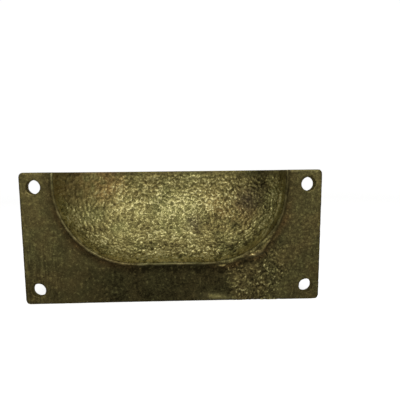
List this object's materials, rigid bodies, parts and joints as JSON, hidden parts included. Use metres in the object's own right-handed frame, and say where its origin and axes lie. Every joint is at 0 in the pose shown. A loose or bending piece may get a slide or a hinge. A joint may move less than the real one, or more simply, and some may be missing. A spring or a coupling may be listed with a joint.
{
  "type": "cup drawer pull",
  "caption": "Cup drawer pull cast in brass: a flat plate drilled for screws, with a hollow half-round cup that is open at its mouth and back and takes the fingers.",
  "frame": {"origin": "centre of the screw hole pattern, on the flat back of the plate", "axes": "+X along the plate, +Y out of the drawer front through the cup, +Z towards the cup's open mouth, which is up in the picture"},
  "size_m": [0.09, 0.0193, 0.04],
  "materials": {
    "cast_brass": "as-cast brass with a dull olive-brown patina"
  },
  "bodies": {
    "root": {"cup_pull": "cast_brass"}
  },
  "joints": []
}
